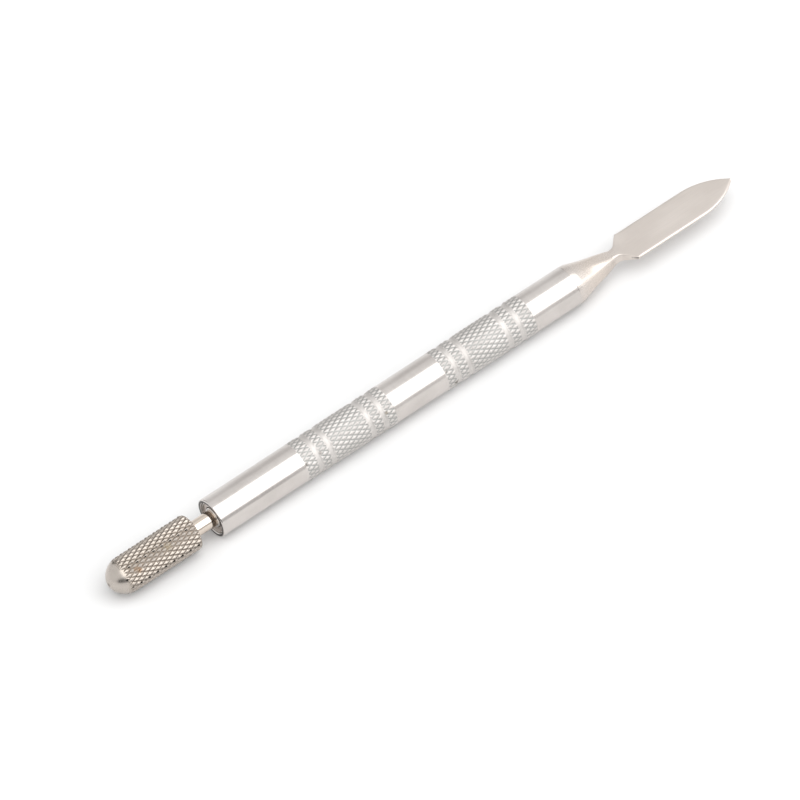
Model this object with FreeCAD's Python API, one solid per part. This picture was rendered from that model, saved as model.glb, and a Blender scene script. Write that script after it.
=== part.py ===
"""Cuticle pusher with a spear blade at one end and a free-turning knurled file head at the other.

The tool lies along X, blade towards +X, on the plane Z = 0. The origin is under the middle of its
length. Stations along the tool are first given from the handle's mouth, where the file head's
spindle goes in, and placed() moves a finished solid from there to the part's own frame.
"""

import FreeCAD, Part

import math
import os

from FreeCAD import Vector

# ---- driving dimensions, millimetres, stations measured from the handle's mouth ----
HANDLE_R = 3.7
KNURL_PROUD = 0.06
KNURL_R = HANDLE_R + KNURL_PROUD
HANDLE_LENGTH = 76.6
MOUTH_ROUNDING = 0.25
MOUTH_CHAMFER = 0.2
SEAM_CHAMFER = 0.02

BAND_WIDE = 2.41
BAND_NARROW = 1.84
BAND_CENTRE = 7.65
BAND_GROOVE = 0.85
FRONT_GRIP_BANDS = (BAND_WIDE, BAND_NARROW, BAND_CENTRE, BAND_NARROW, BAND_NARROW)
REAR_GRIP_BANDS = FRONT_GRIP_BANDS[::-1]
GRIPS = ((18.25, FRONT_GRIP_BANDS), (48.2, REAR_GRIP_BANDS))
GROOVE_R = HANDLE_R - 0.17
BAND_CHAMFER = 0.12

SPINDLE_R = 1.5
BEARING_R = 3.0
BEARING_WIDTH = 2.5
BEARING_RECESS = 0.3
BEARING_GAP = 7.0

HEAD_R = 3.39
HEAD_REAR = -4.15
HEAD_NOSE_CENTRE = -17.9
HEAD_NOSE_LENGTH = 4.0
HEAD_CHAMFER_LENGTH = 0.7
HEAD_CHAMFER_DROP = 0.4
HEAD_BORE_DEPTH = 10.0
NOSE_ANGLES = range(0, 91, 10)

BLADE_HALF_WIDTH = 3.55
BLADE_THICKNESS = 0.64
BLADE_TIP_THICKNESS = 0.52
BLADE_RAISE = 0.4
BLADE_HEEL = 89.1
BLADE_TAPER_START = 103.0
BLADE_TIP = 111.3
BLADE_TIP_R = 0.3
NECK_STATION = 85.8
NECK_R = 1.1
NECK_OVERLAP = 1.0
NECK_FLAT_HALF = 0.8
NECK_FLAT_LENGTH = 0.2
HEEL_BLEND = 0.8
FLARE_START = 86.3
FLARE_BEND_LENGTH = 0.55
FLARE_TURN = (87.3, 1.6)
FLARE_END = (88.8, 3.35)
TANG_R = 2.0
TANG_LENGTH = 8.0
TANG_CHAMFER = 0.3

# ---- how far a cutting tool reaches past the face that it enters or leaves ----
CUT_PAST = 1.0

# ---- values that follow from them ----
HEAD_TIP = HEAD_NOSE_CENTRE - HEAD_NOSE_LENGTH
MIDDLE = (HEAD_TIP + BLADE_TIP) / 2
AXIS_HEIGHT = KNURL_R
FRONT_BEARING = BEARING_RECESS
REAR_BEARING = FRONT_BEARING + BEARING_WIDTH + BEARING_GAP
POCKET_END = REAR_BEARING + BEARING_WIDTH

# ---- ball bearing section, stations from the bearing's own middle ----
RING_CORNER = 0.15
INNER_CHAMFER = 0.1
INNER_RING_R = 1.9
OUTER_RING_BORE_R = 2.6
PITCH_R = (SPINDLE_R + BEARING_R) / 2
BALL_R = 0.5
BALL_COUNT = 7
RACE_R = BALL_R + 0.02
SHIELD_SEAT_R = 2.75
SHIELD_SEAT = 0.95
SHIELD_THICKNESS = 0.12
SHIELD_BORE_R = INNER_RING_R + 0.1
CAGE_GAP = 0.1
CAGE_OPEN_SIDE = -0.35
CAGE_BACK_SIDE = 0.78
CAGE_POCKET_R = BALL_R + 0.06

# ---- spindle tail ----
WASHER_R = 2.1
WASHER_THICKNESS = 0.3
WASHER_PLAY = 0.02
CLIP_R = 2.2
CLIP_BAND = 0.45
CLIP_THICKNESS = 0.4
CLIP_GROOVE_R = 1.15
CLIP_MOUTH = 2.0
CLIP_LUG_WIDTH = 0.9
CLIP_LUG_TURNS = (60, 180, 300)
CLIP_LUG_PLAY = 0.01
TAIL_PLAY = 0.03
SPINDLE_TAIL = 1.1
SPINDLE_CHAMFER = 0.25
RELIEF_R = 2.5
RELIEF_DEPTH = 4.2
DRILL_POINT = 59.0

X_AXIS = Vector(1, 0, 0)


def placed(shape):
    """The shape moved from stations at the mouth, on the axis, to the part's frame."""
    moved = shape.copy()
    moved.translate(Vector(-MIDDLE, 0, AXIS_HEIGHT))
    return moved


def export(name, *solids):
    """Writes one node, which may hold several separate solids."""
    shape = solids[0] if len(solids) == 1 else Part.makeCompound(list(solids))
    placed(shape).exportStep(os.path.join("parts", name + ".step"))


def turned(points):
    """A solid of revolution about X from (station, radius) points, closed in the order given."""
    corners = [Vector(x, 0, r) for x, r in points]
    face = Part.Face(Part.makePolygon(corners + [corners[0]]))
    return face.revolve(Vector(0, 0, 0), X_AXIS, 360)


def turned_edges(edges):
    """A solid of revolution about X from edges that close in the XZ plane."""
    face = Part.Face(Part.Wire(edges))
    return face.revolve(Vector(0, 0, 0), X_AXIS, 360)


def rod(radius, start, end):
    """A cylinder on the axis."""
    return Part.makeCylinder(radius, end - start, Vector(start, 0, 0), X_AXIS)


def tube(outer, inner, start, end):
    """A plain ring or sleeve on the axis."""
    return rod(outer, start, end).cut(rod(inner, start - CUT_PAST, end + CUT_PAST))


def line(start, end):
    """A straight edge between (station, radius) points."""
    return Part.makeLine(Vector(start[0], 0, start[1]), Vector(end[0], 0, end[1]))


def arc(start, middle, end):
    """A circular edge through three (station, radius) points."""
    return Part.Arc(*[Vector(p[0], 0, p[1]) for p in (start, middle, end)]).toShape()


# ---- handle ----


def band_spans(start, widths):
    """(start, end) of the knurled bands of one grip, which begins at start."""
    spans = []
    for width in widths:
        spans.append((start, start + width))
        start += width + BAND_GROOVE
    return spans


def grip_profile(start, widths):
    """Outline points of one grip: proud bands with chamfered ends and sunk grooves between."""
    spans = band_spans(start, widths)
    points = [(start, HANDLE_R)]
    for i, (low, high) in enumerate(spans):
        if i:
            points.append((low, GROOVE_R))
        points.append((low + BAND_CHAMFER, KNURL_R))
        points.append((high - BAND_CHAMFER, KNURL_R))
        if i < len(spans) - 1:
            points.append((high, GROOVE_R))
    points.append((spans[-1][1], HANDLE_R))
    return points


def handle_body():
    """The turned bar: rounded mouth, two grips, a stepped blind bore in front and a tang bore behind."""
    centre = (MOUTH_ROUNDING, HANDLE_R - MOUTH_ROUNDING)
    slant = MOUTH_ROUNDING * math.sqrt(0.5)
    outline = [(MOUTH_ROUNDING, HANDLE_R)]
    for start, widths in GRIPS:
        outline += grip_profile(start, widths)
    outline += [
        (HANDLE_LENGTH - SEAM_CHAMFER, HANDLE_R),
        (HANDLE_LENGTH, HANDLE_R - SEAM_CHAMFER),
        (HANDLE_LENGTH, 0),
        (0, 0),
        (0, HANDLE_R - MOUTH_ROUNDING),
    ]
    edges = [line(a, b) for a, b in zip(outline, outline[1:])]
    edges.append(
        arc(outline[-1], (centre[0] - slant, centre[1] + slant), outline[0])
    )
    point_depth = RELIEF_R / math.tan(math.radians(DRILL_POINT))
    relief_end = POCKET_END + RELIEF_DEPTH
    bore = turned(
        [
            (-CUT_PAST, 0),
            (-CUT_PAST, BEARING_R + MOUTH_CHAMFER + CUT_PAST),
            (MOUTH_CHAMFER, BEARING_R),
            (POCKET_END, BEARING_R),
            (POCKET_END, RELIEF_R),
            (relief_end, RELIEF_R),
            (relief_end + point_depth, 0),
        ]
    )
    tang_bore = rod(TANG_R, HANDLE_LENGTH - TANG_LENGTH, HANDLE_LENGTH + CUT_PAST)
    return turned_edges(edges).cut(bore).cut(tang_bore)


# ---- file head and spindle ----


def nose_point(angle):
    """(station, radius) on the nose's quarter ellipse, from the tip at 0 to the body at 90 degrees."""
    a = math.radians(angle)
    return (HEAD_NOSE_CENTRE - HEAD_NOSE_LENGTH * math.cos(a), HEAD_R * math.sin(a))


def nose_edge():
    """The nose's outline as one smooth curve."""
    points = [Vector(x, 0, r) for x, r in map(nose_point, NOSE_ANGLES)]
    curve = Part.BSplineCurve()
    curve.interpolate(
        Points=points, InitialTangent=Vector(0, 0, 1), FinalTangent=Vector(1, 0, 0)
    )
    return curve.toShape()


def file_head():
    """The abrasive head at its crest size: domed nose, straight body, chamfered back, blind bore."""
    shoulder = (HEAD_REAR - HEAD_CHAMFER_LENGTH, HEAD_R)
    back = (HEAD_REAR, HEAD_R - HEAD_CHAMFER_DROP)
    edges = [
        nose_edge(),
        line((HEAD_NOSE_CENTRE, HEAD_R), shoulder),
        line(shoulder, back),
        line(back, (HEAD_REAR, 0)),
        line((HEAD_REAR, 0), (HEAD_TIP, 0)),
    ]
    bore = rod(SPINDLE_R, HEAD_REAR - HEAD_BORE_DEPTH, HEAD_REAR + CUT_PAST)
    return turned_edges(edges).cut(bore)


def clip_groove_start():
    """Where the spindle's clip groove begins, just behind the washer."""
    return POCKET_END + WASHER_THICKNESS + 2 * TAIL_PLAY


def spindle():
    """The ground rod that carries the head: chamfered ends and a clip groove near its tail."""
    start = HEAD_REAR - HEAD_BORE_DEPTH
    groove = clip_groove_start()
    groove_end = groove + CLIP_THICKNESS + 2 * TAIL_PLAY
    end = groove_end + SPINDLE_TAIL
    return turned(
        [
            (start, 0),
            (start, SPINDLE_R - SPINDLE_CHAMFER),
            (start + SPINDLE_CHAMFER, SPINDLE_R),
            (groove, SPINDLE_R),
            (groove, CLIP_GROOVE_R),
            (groove_end, CLIP_GROOVE_R),
            (groove_end, SPINDLE_R),
            (end - SPINDLE_CHAMFER, SPINDLE_R),
            (end, SPINDLE_R - SPINDLE_CHAMFER),
            (end, 0),
        ]
    )


def thrust_washer():
    """The shim between the rear inner ring and the clip."""
    start = POCKET_END + TAIL_PLAY
    return tube(WASHER_R, SPINDLE_R + WASHER_PLAY, start, start + WASHER_THICKNESS)


def retaining_clip():
    """An E-clip in the spindle's groove: an open ring with three lugs that reach the groove's floor."""
    start = clip_groove_start() + TAIL_PLAY
    end = start + CLIP_THICKNESS
    ring = tube(CLIP_R, CLIP_R - CLIP_BAND, start, end)
    reach = CLIP_R - CLIP_BAND / 2
    for turn in CLIP_LUG_TURNS:
        lug = Part.makeBox(
            CLIP_THICKNESS, CLIP_LUG_WIDTH, reach, Vector(start, -CLIP_LUG_WIDTH / 2, 0)
        )
        lug.rotate(Vector(0, 0, 0), X_AXIS, turn)
        ring = ring.fuse(lug)
    ring = ring.cut(rod(CLIP_GROOVE_R + CLIP_LUG_PLAY, start - CUT_PAST, end + CUT_PAST))
    mouth = Part.makeBox(
        CLIP_THICKNESS + 2 * CUT_PAST,
        CLIP_MOUTH,
        CLIP_R + CUT_PAST,
        Vector(start - CUT_PAST, -CLIP_MOUTH / 2, 0),
    )
    return ring.cut(mouth).removeSplitter()


# ---- ball bearings ----


def race(middle):
    """The torus that the balls run in."""
    return Part.makeTorus(PITCH_R, RACE_R, Vector(middle, 0, 0), X_AXIS)


def outer_ring(middle):
    """Outer ring with a race, a seat for each shield and rounded outer corners."""
    half = BEARING_WIDTH / 2
    ring = turned(
        [
            (-half, SHIELD_SEAT_R),
            (-half, BEARING_R - RING_CORNER),
            (-half + RING_CORNER, BEARING_R),
            (half - RING_CORNER, BEARING_R),
            (half, BEARING_R - RING_CORNER),
            (half, SHIELD_SEAT_R),
            (SHIELD_SEAT, SHIELD_SEAT_R),
            (SHIELD_SEAT, OUTER_RING_BORE_R),
            (-SHIELD_SEAT, OUTER_RING_BORE_R),
            (-SHIELD_SEAT, SHIELD_SEAT_R),
        ]
    )
    ring.translate(Vector(middle, 0, 0))
    return ring.cut(race(middle))


def inner_ring(middle):
    """Inner ring with a race and a small chamfer at each end of its bore."""
    half = BEARING_WIDTH / 2
    ring = turned(
        [
            (-half, SPINDLE_R + INNER_CHAMFER),
            (-half, INNER_RING_R),
            (half, INNER_RING_R),
            (half, SPINDLE_R + INNER_CHAMFER),
            (half - INNER_CHAMFER, SPINDLE_R),
            (-half + INNER_CHAMFER, SPINDLE_R),
        ]
    )
    ring.translate(Vector(middle, 0, 0))
    return ring.cut(race(middle))


def balls(middle, radius):
    """Spheres of that radius, evenly spaced on the pitch circle."""
    found = []
    for i in range(BALL_COUNT):
        turn = 2 * math.pi * i / BALL_COUNT
        centre = Vector(middle, PITCH_R * math.sin(turn), PITCH_R * math.cos(turn))
        found.append(Part.makeSphere(radius, centre))
    return found


def cage(middle):
    """Crown cage: a ring whose pockets are open on one side."""
    ring = tube(
        OUTER_RING_BORE_R - CAGE_GAP,
        INNER_RING_R + CAGE_GAP,
        middle + CAGE_OPEN_SIDE,
        middle + CAGE_BACK_SIDE,
    )
    for pocket in balls(middle, CAGE_POCKET_R):
        ring = ring.cut(pocket)
    return ring


def shield(middle, side):
    """The thin plate that closes one side; side is -1 towards the mouth and 1 away from it."""
    low = middle + (SHIELD_SEAT if side > 0 else -SHIELD_SEAT - SHIELD_THICKNESS)
    return tube(SHIELD_SEAT_R, SHIELD_BORE_R, low, low + SHIELD_THICKNESS)


def export_bearing(name, start):
    """Writes the six nodes of the bearing that begins at start."""
    middle = start + BEARING_WIDTH / 2
    export(name + "_bearing_outer_ring", outer_ring(middle))
    export(name + "_bearing_inner_ring", inner_ring(middle))
    export(name + "_bearing_balls", *balls(middle, BALL_R))
    export(name + "_bearing_cage", cage(middle))
    export(name + "_bearing_mouth_shield", shield(middle, -1))
    export(name + "_bearing_back_shield", shield(middle, 1))


# ---- blade ----


def ogive_edge(side):
    """One curved side of the spear point, tangent to the straight edge it starts from."""
    rise = BLADE_HALF_WIDTH - BLADE_TIP_R
    length = BLADE_TIP - BLADE_TIP_R / 2 - BLADE_TAPER_START
    radius = (length**2 + rise**2) / (2 * rise)
    middle = length / 2
    drop = radius - math.sqrt(radius**2 - middle**2)
    points = [
        (BLADE_TAPER_START, BLADE_HALF_WIDTH),
        (BLADE_TAPER_START + middle, BLADE_HALF_WIDTH - drop),
        (BLADE_TAPER_START + length, BLADE_TIP_R),
    ]
    return Part.Arc(*[Vector(x, y * side, 0) for x, y in points]).toShape()


def plan_side(side):
    """The edges of one side of the plan, from the neck to the spear point; side is 1 or -1."""
    root = Vector(NECK_STATION - NECK_OVERLAP, NECK_R * side, 0)
    start = Vector(FLARE_START, NECK_R * side, 0)
    bend = Vector(FLARE_START + FLARE_BEND_LENGTH, NECK_R * side, 0)
    turn = Vector(FLARE_TURN[0], FLARE_TURN[1] * side, 0)
    shoulder = Vector(FLARE_END[0], FLARE_END[1] * side, 0)
    heel = Vector(BLADE_HEEL, BLADE_HALF_WIDTH * side, 0)
    taper = Vector(BLADE_TAPER_START, BLADE_HALF_WIDTH * side, 0)
    flare = Part.BezierCurve()
    flare.setPoles([start, bend, turn])
    return [
        Part.makeLine(root, start),
        flare.toShape(),
        Part.makeLine(turn, shoulder),
        Part.makeLine(shoulder, heel),
        Part.makeLine(heel, taper),
        ogive_edge(side),
    ]


def plan_outline():
    """The blade and neck seen from above, as a closed face in the XY plane."""
    tip_start = BLADE_TIP - BLADE_TIP_R / 2
    tip = Part.Arc(
        Vector(tip_start, BLADE_TIP_R, 0),
        Vector(BLADE_TIP, 0, 0),
        Vector(tip_start, -BLADE_TIP_R, 0),
    ).toShape()
    root = NECK_STATION - NECK_OVERLAP
    back = Part.makeLine(Vector(root, NECK_R, 0), Vector(root, -NECK_R, 0))
    edges = plan_side(1) + plan_side(-1) + [tip, back]
    return Part.Face(Part.Wire(Part.__sortEdges__(edges)))


def side_outline():
    """The blade and neck seen from the side, as a closed face in the XZ plane."""
    half = BLADE_THICKNESS / 2
    tip_half = BLADE_TIP_THICKNESS / 2
    root = NECK_STATION - NECK_OVERLAP
    flat_end = NECK_STATION + NECK_FLAT_LENGTH
    points = [
        (root, NECK_FLAT_HALF),
        (flat_end, NECK_FLAT_HALF),
        (BLADE_HEEL - HEEL_BLEND, BLADE_RAISE + half),
        (BLADE_TAPER_START, BLADE_RAISE + half),
        (BLADE_TIP, BLADE_RAISE + tip_half),
        (BLADE_TIP, BLADE_RAISE - tip_half),
        (BLADE_TAPER_START, BLADE_RAISE - half),
        (BLADE_HEEL - HEEL_BLEND, BLADE_RAISE - half),
        (flat_end, -NECK_FLAT_HALF),
        (root, -NECK_FLAT_HALF),
    ]
    corners = [Vector(x, 0, z) for x, z in points]
    return Part.Face(Part.makePolygon(corners + [corners[0]]))


def blade_cone():
    """The cone that leaves the handle flush and narrows to a short round neck."""
    seam = HANDLE_LENGTH + SEAM_CHAMFER
    return turned(
        [
            (HANDLE_LENGTH, 0),
            (HANDLE_LENGTH, HANDLE_R - SEAM_CHAMFER),
            (seam, HANDLE_R),
            (NECK_STATION, NECK_R),
            (FLARE_START, NECK_R),
            (FLARE_START, 0),
        ]
    )


def tang():
    """The round stub, with a chamfered end, that is pressed into the handle."""
    start = HANDLE_LENGTH - TANG_LENGTH
    return turned(
        [
            (start, 0),
            (start, TANG_R - TANG_CHAMFER),
            (start + TANG_CHAMFER, TANG_R),
            (HANDLE_LENGTH + SEAM_CHAMFER, TANG_R),
            (HANDLE_LENGTH + SEAM_CHAMFER, 0),
        ]
    )


def pusher_blade():
    """Forged blade: tang, cone that meets the handle flush, round neck and flat spear blade."""
    deep = 4 * HANDLE_R
    plan = plan_outline()
    plan.translate(Vector(0, 0, -deep / 2))
    side = side_outline()
    side.translate(Vector(0, -deep / 2, 0))
    plate = plan.extrude(Vector(0, 0, deep)).common(side.extrude(Vector(0, deep, 0)))
    return tang().fuse([blade_cone(), plate]).removeSplitter()


def main():
    """Builds every node and writes it."""
    os.makedirs("parts", exist_ok=True)
    export("handle_body", handle_body())
    export("pusher_blade", pusher_blade())
    export("file_head", file_head())
    export("spindle", spindle())
    export_bearing("front", FRONT_BEARING)
    export_bearing("rear", REAR_BEARING)
    sleeve_start = FRONT_BEARING + BEARING_WIDTH
    export("outer_spacer", tube(BEARING_R, OUTER_RING_BORE_R, sleeve_start, REAR_BEARING))
    export("inner_spacer", tube(INNER_RING_R, SPINDLE_R, sleeve_start, REAR_BEARING))
    export("thrust_washer", thrust_washer())
    export("retaining_clip", retaining_clip())


main()
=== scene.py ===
"""Looks of the cuticle pusher: a turned steel handle with two knurled grips, a spear blade at one end
and a free-turning knurled file head at the other, on a pale floor under a soft box."""

import math

import bmesh
import bpy
import numpy as np
from mathutils import Matrix, Vector


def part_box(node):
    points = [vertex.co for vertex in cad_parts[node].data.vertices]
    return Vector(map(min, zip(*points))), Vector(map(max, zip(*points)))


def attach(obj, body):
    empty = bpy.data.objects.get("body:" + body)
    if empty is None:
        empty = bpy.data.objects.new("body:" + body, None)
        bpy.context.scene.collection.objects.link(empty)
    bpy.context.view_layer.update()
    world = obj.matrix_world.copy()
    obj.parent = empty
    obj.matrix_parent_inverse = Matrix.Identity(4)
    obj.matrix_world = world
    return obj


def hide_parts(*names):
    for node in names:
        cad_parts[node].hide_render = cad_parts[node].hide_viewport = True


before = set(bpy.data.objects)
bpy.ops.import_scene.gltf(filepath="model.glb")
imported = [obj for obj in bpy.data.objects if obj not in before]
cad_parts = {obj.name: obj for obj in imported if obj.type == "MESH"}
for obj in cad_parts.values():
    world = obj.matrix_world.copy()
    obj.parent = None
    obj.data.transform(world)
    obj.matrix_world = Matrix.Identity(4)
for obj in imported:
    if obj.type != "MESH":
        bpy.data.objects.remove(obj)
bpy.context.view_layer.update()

MM = 0.001

# ---- where things are, from the CAD: stations are millimetres from the handle's mouth ----
HANDLE_LOW, HANDLE_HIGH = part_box("handle_body")
MOUTH_X = HANDLE_LOW.x
AXIS_Z = (HANDLE_LOW.z + HANDLE_HIGH.z) / 2
HANDLE_END = (HANDLE_HIGH.x - MOUTH_X) / MM
KNURL_R = (HANDLE_HIGH.z - HANDLE_LOW.z) / MM / 2


def span(node):
    """The stations where a CAD piece begins and ends."""
    low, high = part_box(node)
    return (low.x - MOUTH_X) / MM, (high.x - MOUTH_X) / MM


HEAD_TIP, HEAD_REAR = span("file_head")
TANG_START, BLADE_TIP = span("pusher_blade")
SPINDLE_START, SPINDLE_END = span("spindle")
BEARING_START, BEARING_END = span("front_bearing_outer_ring")
POCKET_END = span("rear_bearing_outer_ring")[1]
SHIELD_START, SHIELD_END = span("front_bearing_mouth_shield")
CLIP_START, CLIP_END = span("retaining_clip")

# ---- handle ----
HANDLE_R = 3.7
MOUTH_ROUNDING = 0.25
MOUTH_CHAMFER = 0.13
MOUTH_STEPS = 10
SEAM_CHAMFER = 0.02
POCKET_R = 3.0
RELIEF_R = 2.5
RELIEF_DEPTH = 4.2
DRILL_SLOPE = math.tan(math.radians(31))
TANG_R = 2.0
TANG_CHAMFER = 0.3
HANDLE_COLUMNS = 288
HANDLE_TEETH = 24
KNURL_PERIOD = 1.7
GRIP_DEPTH = 0.21
GRIP_STARTS = (18.25, 48.2)
# rows of mesh in each grip's bands, and in each groove between two bands
GRIP_BANDS = ((17, 13, 54, 13, 13), (13, 13, 54, 13, 17))
GROOVE_ROWS = 6
GROOVE_R = 3.53
GROOVE_FINISH = 1.0
# the mouth's end face, painted near-black as shade: how deep it reaches, and how much of the mouth's
# rounding stays unpainted
SHADE_FACE_REACH = 0.07
BRIGHT_ROUNDING = 0.75
SHOULDER_R = 3.64
SHOULDER_ROUNDING = 0.45

# ---- file head ----
HEAD_R = 3.39
HEAD_COLUMNS = 352
HEAD_TEETH = 22
HEAD_PERIOD = 1.75
HEAD_DEPTH = 0.295
# the knurl's height is stretched by this, so that its points are cut off slightly flat
HEAD_STRETCH = 1.12
NOSE_LENGTH = 4.0
HEAD_CHAMFER_LENGTH = 0.7
HEAD_CHAMFER_DROP = 0.4
HEAD_FACE_STEP = 0.02
NOSE_KNURL_END = 1.8
NOSE_ROWS = 26

# ---- spindle and bearing ----
SPINDLE_R = 1.5
SPINDLE_CHAMFER = 0.25
CLIP_GROOVE_R = 1.15
CLIP_PLAY = 0.03
INNER_RING_R = 1.9
OUTER_RING_BORE_R = 2.6
SHIELD_SEAT_R = 2.75
RING_CORNER = 0.15
CORNER_STEPS = 6
INNER_CHAMFER = 0.1
INNER_CORNER = 0.06
RACE_R = 0.52
RACE_STEPS = 12
SHIELD_GAP = 0.1
SHIELD_DIP = 0.03
# a shallow ring pressed in the shield, by distance from its bore
SHIELD_GROOVE = (0.4, 0.5, 0.6)
LATHE_COLUMNS = 192

# ---- blade ----
BLADE_HALF_WIDTH = 3.55
BLADE_HALF_THICKNESS = 0.32
TIP_HALF_THICKNESS = 0.26
BLADE_RAISE = 0.4
NECK_STATION = 85.8
NECK_R = 1.1
FLARE_START = 86.3
FLARE_BEND = (86.85, 1.1)
FLARE_TURN = (87.3, 1.6)
HEEL_BEND = (88.88, 3.47)
FLARE_STEPS = 24
HEEL = 89.1
SATIN_START = 83.0
TAPER_START = 103.0
TIP_R = 0.3
EDGE_WIDTH = 0.5
HEEL_EDGE_WIDTH = 0.12
SQUARE_START = 80.0
PLATE_START = HEEL - 0.4
RAISE_START = NECK_STATION - 0.4
THINNING = (NECK_STATION - 0.3, HEEL + 0.6)
EDGE_GROWTH = (HEEL - 0.2, HEEL + 1.2)
EDGE_DROP = 0.2
EDGE_CROWN = 0.08
CONE_BLEND = 1.4
SECTION_POINTS = 176
CORNER_SHARE = 0.4
CORNER_POINTS = 13
CORNER_LIMIT = 0.999
# how many sections each stretch of the blade has
BEND_SECTIONS = 13
CONE_SECTIONS = 17
FLARE_SECTIONS = 64
PLATE_SECTIONS = 24
OGIVE_SECTIONS = 56
TIP_SECTIONS = 12
HEEL_MARGIN = 0.1

# ---- camera and light ----
TOOL_ROLL = 13.0
CAMERA_AZIMUTH = -37.4
CAMERA_ELEVATION = 58.2
CAMERA_DISTANCE = 1.6
CAMERA_WIDTH = 0.13605
CAMERA_AIM = (-0.00875, -0.00814, 0.01280)
CAMERA_CLIP = (0.1, 20.0)
# how far along X the soft box is, and how many degrees it leans to -Y
KEY_PLACE = (0.12, 33.0)
KEY_DISTANCE = 0.6
KEY_SIZE = (1.1, 0.9)
KEY_POWER = 4.3
FLOOR_HALF = 6.0
FLOOR_DROP = 0.00002
FLOOR_GREY = 0.77
FLOOR_ROUGHNESS = 0.9
FLOOR_SPECULAR = 0.1
CARD_LEFT, CARD_RIGHT = 0.0, 0.06
CARD_Y = -0.25
CARD_TOP = 0.08
CARD_GLOW = 0.66

# ---- mesh and surface ----
# rows of points this close beside a corner keep it crisp, on straight runs longer than LONG_RUN
SUPPORT = 0.03
LONG_RUN = 6 * SUPPORT
HARD_TURN = 28.0
POLE_R = 1e-9
WELD_DISTANCE = 1e-7
TOOTH = "tooth_height"
FINISH_AND_SHADE = "surface_finish_and_shade"
# what the finish attribute holds at each point: 0 is polished, -1 marks the mouth's face, painted
# near-black as shade, and 1 is knurled or satin
PAINTED_SHADE_FACE = -1.0
WORKED = 1.0
# noise: cycles per millimetre, detail, and the part of its range that is used
CLOUD = (0.12, 0.25, 0.25)
CLOUD_DETAIL = 3.0
CLOUD_RANGE = (0.35, 0.65)
GRAIN_DETAIL = 4.0
GRAIN_RANGE = (0.3, 0.7)
GRAIN_SHADE = 0.95
SPOT_CORE = 1 / 3


# ---- mesh making ----


def arc(centre, radius, start, end, steps):
    """(station, radius) points on a circle, with angles in degrees from the +station direction."""
    turns = np.radians(np.linspace(start, end, steps + 1))
    return [(centre[0] + radius * math.cos(t), centre[1] + radius * math.sin(t)) for t in turns]


def supported(points):
    """The outline with a point added close to each end of every long straight run."""
    made = [points[0]]
    for a, b in zip(points, points[1:]):
        length = math.dist(a, b)
        if length > LONG_RUN:
            share = SUPPORT / length
            for s in (share, 1 - share):
                made.append((a[0] + (b[0] - a[0]) * s, a[1] + (b[1] - a[1]) * s))
        made.append(b)
    return made


def hard_rows(points):
    """Whether the outline turns sharply at each point."""
    flags = [False] * len(points)
    for i in range(1, len(points) - 1):
        a = math.atan2(points[i][1] - points[i - 1][1], points[i][0] - points[i - 1][0])
        b = math.atan2(points[i + 1][1] - points[i][1], points[i + 1][0] - points[i][0])
        turn = abs((math.degrees(b - a) + 180) % 360 - 180)
        flags[i] = turn > HARD_TURN
    return flags


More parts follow.
